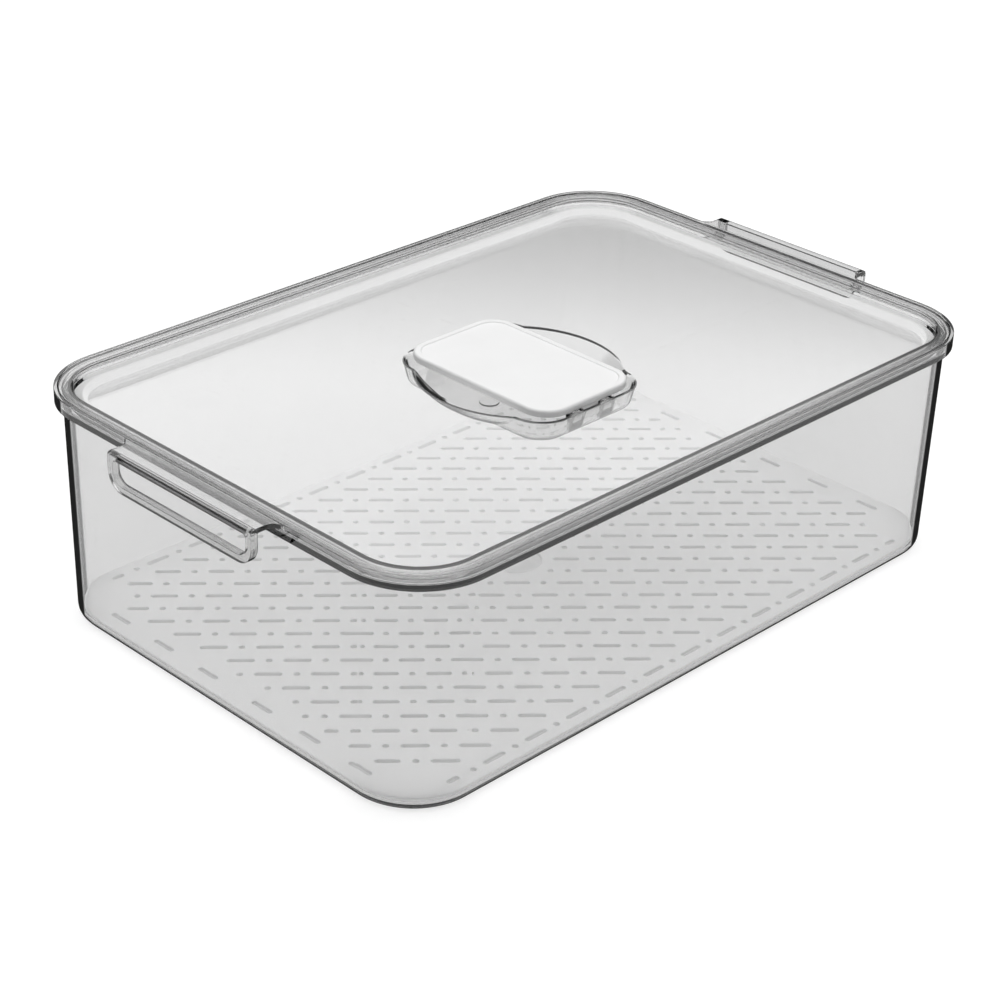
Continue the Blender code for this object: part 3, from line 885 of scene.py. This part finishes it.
def painted_shade_grazing(tree):
    """How slantwise an edge, corner or strip is seen, from 0 to 1, below 0 on a broad face; it masks the
    painted edge shade.
    """
    facing = tree.nodes.new("ShaderNodeLayerWeight")
    broad = tree.nodes.new("ShaderNodeAttribute")
    broad.attribute_name = "broad"
    grazing = tree.nodes.new("ShaderNodeMath")
    grazing.operation = "SUBTRACT"
    tree.links.new(facing.outputs["Facing"], grazing.inputs[0])
    tree.links.new(broad.outputs["Fac"], grazing.inputs[1])
    return grazing.outputs["Value"]


def clear_plastic(name, clarity, painted_shade_slant):
    """Clear moulded plastic: faint waviness, a little handling haze, and painted shade that turns edges
    seen slantwise near black, standing in for the dark surroundings they would reflect.
    """
    surface = Surface(name)
    tree = surface.tree
    surface.set("IOR", PLASTIC_IOR)
    grazing = painted_shade_grazing(tree)

    def painted_edge_shade(face, edge):
        return surface.remap(grazing, painted_shade_slant, (face, edge), "SMOOTHSTEP")

    # Painted shade: edges seen slantwise are painted near black, with their clearness and reflection
    # turned down
    shade = tree.nodes.new("ShaderNodeMix")
    shade.data_type = "RGBA"
    shade.inputs["B"].default_value = grey(PAINTED_EDGE_SHADE)
    tree.links.new(painted_edge_shade(0.0, 1.0), shade.inputs["Factor"])
    tree.links.new(surface.mottle(14.0, 2.0, clarity, clarity + 0.01), shade.inputs["A"])
    surface.feed(shade.outputs["Result"], "Base Color")
    surface.feed(painted_edge_shade(1.0, 0.0), "Transmission Weight")
    surface.feed(painted_edge_shade(0.5, 0.0), "Specular IOR Level")
    surface.feed(surface.spread(surface.noise(60.0, 4.0), 0.002, 0.01), "Roughness")
    surface.bump(surface.noise(9.0, 1.0), 0.02, 0.5 * MM)
    absorption = tree.nodes.new("ShaderNodeVolumeAbsorption")
    absorption.inputs["Color"].default_value = grey(0.5)
    absorption.inputs["Density"].default_value = PLASTIC_DENSITY
    output = tree.nodes["Material Output"]
    tree.links.new(absorption.outputs["Volume"], output.inputs["Volume"])
    return surface.material


def white_plastic(name):
    """White satin plastic with a fine moulded grain."""
    surface = Surface(name)
    surface.feed(surface.mottle(35.0, 3.0, 0.80, 0.83), "Base Color")
    surface.feed(surface.spread(surface.noise(220.0, 3.0), 0.30, 0.42), "Roughness")
    surface.bump(surface.noise(1800.0, 2.0), 0.12, 0.05 * MM)
    return surface.material


def tray_plastic(name):
    """Pale matt plastic with a fine even grain, which lets a little light into itself."""
    surface = Surface(name)
    surface.feed(surface.mottle(18.0, 4.0, 0.92, 0.95), "Base Color")
    surface.set("Subsurface Weight", 0.6)
    surface.set("Subsurface Radius", (1.0, 1.0, 1.0))
    surface.set("Subsurface Scale", 4.0 * MM)
    surface.feed(surface.spread(surface.noise(160.0, 3.0), 0.42, 0.55), "Roughness")
    surface.bump(surface.noise(1500.0, 2.0), 0.2, 0.06 * MM)
    return surface.material


def floor_surface(name):
    """Pale matt floor that glows a little, which keeps the object's shadow light."""
    surface = Surface(name)
    surface.feed(surface.mottle(3.0, 3.0, 0.39, 0.41), "Base Color")
    surface.feed(surface.spread(surface.noise(40.0, 3.0), 0.75, 0.85), "Roughness")
    surface.set("Specular IOR Level", 0.1)
    surface.set("Emission Color", grey(1.0))
    surface.set("Emission Strength", STAGE_GLOW)
    return surface.material


def dress(piece, material, body, node):
    """Give a piece its material, hide the node it stands for, and hang it on the body it rides on."""
    piece.data.materials.clear()
    piece.data.materials.append(material)
    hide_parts(node)
    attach(piece, body)


def add_stage():
    """Pale floor under the object."""
    bm = bmesh.new()
    bmesh.ops.create_grid(bm, x_segments=8, y_segments=8, size=STAGE_HALF)
    mesh = bpy.data.meshes.new("floor")
    bm.to_mesh(mesh)
    bm.free()
    floor = bpy.data.objects.new("floor", mesh)
    floor.location.z = -STAGE_DROP
    bpy.context.scene.collection.objects.link(floor)
    mesh.materials.append(floor_surface("floor_white"))


def add_studio_light():
    """Dark studio with one very large soft light, overhead and a little behind the object."""
    world = bpy.data.worlds.new("studio")
    bpy.context.scene.world = world
    world.use_nodes = True
    tree = world.node_tree
    background = tree.nodes["Background"]
    background.inputs["Color"].default_value = grey(1.0)
    coordinates = tree.nodes.new("ShaderNodeTexCoord")
    nearness = tree.nodes.new("ShaderNodeVectorMath")
    nearness.operation = "DOT_PRODUCT"
    level = math.cos(LIGHT_ELEVATION)
    nearness.inputs[1].default_value = (
        -math.sin(LIGHT_AZIMUTH) * level,
        math.cos(LIGHT_AZIMUTH) * level,
        math.sin(LIGHT_ELEVATION),
    )
    falloff = tree.nodes.new("ShaderNodeMapRange")
    falloff.interpolation_type = "SMOOTHSTEP"
    falloff.inputs["From Min"].default_value = math.cos(LIGHT_END)
    falloff.inputs["From Max"].default_value = math.cos(LIGHT_FULL)
    falloff.inputs["To Min"].default_value = STUDIO_DARK
    falloff.inputs["To Max"].default_value = LIGHT_STRENGTH
    tree.links.new(coordinates.outputs["Generated"], nearness.inputs[0])
    tree.links.new(nearness.outputs["Value"], falloff.inputs["Value"])
    tree.links.new(falloff.outputs["Result"], background.inputs["Strength"])
    bpy.context.scene.view_settings.view_transform = "Standard"
    bpy.context.scene.cycles.blur_glossy = 0.0


def main():
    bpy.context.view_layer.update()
    add_camera()
    bin_plastic = clear_plastic("bin_clear_plastic", BIN_CLARITY, BIN_PAINTED_SHADE_SLANT)
    lid_plastic = clear_plastic("lid_clear_plastic", LID_CLARITY, LID_PAINTED_SHADE_SLANT)
    dress(build_bin(), bin_plastic, "bin", "bin_body")
    dress(build_lid(), lid_plastic, "lid", "lid")
    dress(build_plate(), white_plastic("grip_white_plastic"), "lid", "grip_plate")
    dress(build_tray(), tray_plastic("tray_matt_plastic"), "tray", "drain_tray")
    add_stage()
    add_studio_light()


main()
